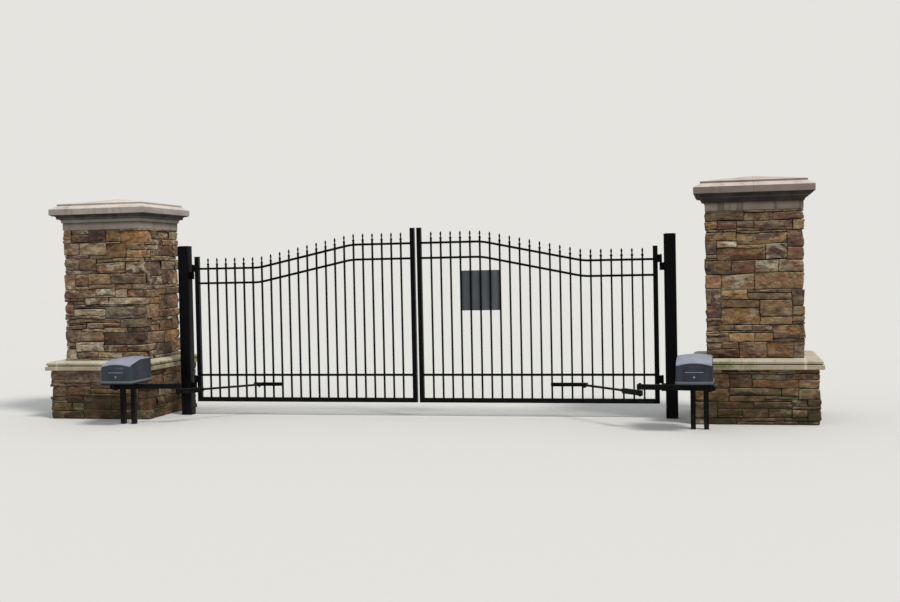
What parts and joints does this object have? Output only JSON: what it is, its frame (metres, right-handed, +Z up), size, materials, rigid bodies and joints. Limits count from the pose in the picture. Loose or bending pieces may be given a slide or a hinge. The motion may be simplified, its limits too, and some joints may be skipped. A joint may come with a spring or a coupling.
{
  "type": "wrought iron driveway gate with stone piers and articulated-arm operators",
  "caption": "Double swing driveway gate of square pickets with arched double top rails, turned finials, steel hinge posts, stone piers and articulated-arm gate operators.",
  "frame": {"origin": "centre of the left hinge post's bottom face, where it meets its footing", "axes": "+X along the closed gate from the left hinge post to the right one, as seen from the side of the operators; +Y away from that side; +Z up"},
  "size_m": [8.91, 2.062, 2.634],
  "materials": {
    "gate_paint": "satin black paint on steel, dusty on the upper faces",
    "operator_steel": "black powder coat, worn at edges and bolts",
    "operator_plastic": "grained slate grey moulding, sun-bleached on the lid",
    "sign_plate": "charcoal painted sheet, blank",
    "ledgestone": "dry-stacked ledgestone in tan, ochre, rust and grey-brown courses",
    "cast_stone": "weathered warm grey cast stone with algae in the grooves"
  },
  "bodies": {
    "posts_piers_operators": {"left_post": "gate_paint", "left_post_cap": "gate_paint", "left_post_hinges": "gate_paint", "left_pier_plinth": "ledgestone", "left_pier_ledge": "cast_stone", "left_pier_shaft": "ledgestone", "left_pier_neck": "cast_stone", "left_pier_cap": "cast_stone", "left_operator_pedestal": "operator_steel", "left_operator_base": "operator_steel", "left_operator_cover": "operator_plastic", "right_post": "gate_paint", "right_post_cap": "gate_paint", "right_post_hinges": "gate_paint", "right_pier_plinth": "ledgestone", "right_pier_ledge": "cast_stone", "right_pier_shaft": "ledgestone", "right_pier_neck": "cast_stone", "right_pier_cap": "cast_stone", "right_operator_pedestal": "operator_steel", "right_operator_base": "operator_steel", "right_operator_cover": "operator_plastic"},
    "left_leaf": {"left_hinge_stile": "gate_paint", "left_meeting_stile": "gate_paint", "left_bottom_rail": "gate_paint", "left_picket_panel": "gate_paint", "left_finials": "gate_paint", "left_leaf_hinges": "gate_paint", "left_arm_bracket": "gate_paint"},
    "left_crank": {"left_crank_arm": "operator_steel"},
    "left_link": {"left_link_arm": "operator_steel"},
    "right_leaf": {"right_hinge_stile": "gate_paint", "right_meeting_stile": "gate_paint", "right_bottom_rail": "gate_paint", "right_picket_panel": "gate_paint", "right_finials": "gate_paint", "right_leaf_hinges": "gate_paint", "right_arm_bracket": "gate_paint", "right_sign_plate": "sign_plate"},
    "right_crank": {"right_crank_arm": "operator_steel"},
    "right_link": {"right_link_arm": "operator_steel"}
  },
  "joints": [
    {"name": "left_leaf_hinge", "type": "hinge", "parent": "posts_piers_operators", "child": "left_leaf", "pos_m": [0.1005, 0, 0.385], "axis": [0, 0, -1], "range_deg": [0, 90]},
    {"name": "left_crank_turn", "type": "hinge", "parent": "posts_piers_operators", "child": "left_crank", "pos_m": [-0.4188, -0.992, 0.43], "axis": [0, 0, -1], "range_deg": [0, 111.81]},
    {"name": "left_link_pivot", "type": "hinge", "parent": "left_leaf", "child": "left_link", "pos_m": [0.9512, -0.085, 0.37], "axis": [0, 0, 1], "range_deg": [0, 95.94]},
    {"name": "right_leaf_hinge", "type": "hinge", "parent": "posts_piers_operators", "child": "right_leaf", "pos_m": [5.6579, 0, 0.385], "axis": [0, 0, 1], "range_deg": [0, 90]},
    {"name": "right_crank_turn", "type": "hinge", "parent": "posts_piers_operators", "child": "right_crank", "pos_m": [6.1772, -0.992, 0.43], "axis": [0, 0, 1], "range_deg": [0, 111.81]},
    {"name": "right_link_pivot", "type": "hinge", "parent": "right_leaf", "child": "right_link", "pos_m": [4.8072, -0.085, 0.37], "axis": [0, 0, -1], "range_deg": [0, 95.94]}
  ],
  "couplings": [
    {"joint": "left_crank_turn", "follows": "left_leaf_hinge", "ratio": 1.2423},
    {"joint": "left_link_pivot", "follows": "left_leaf_hinge", "ratio": 1.066},
    {"joint": "right_crank_turn", "follows": "right_leaf_hinge", "ratio": 1.2423},
    {"joint": "right_link_pivot", "follows": "right_leaf_hinge", "ratio": 1.066}
  ]
}
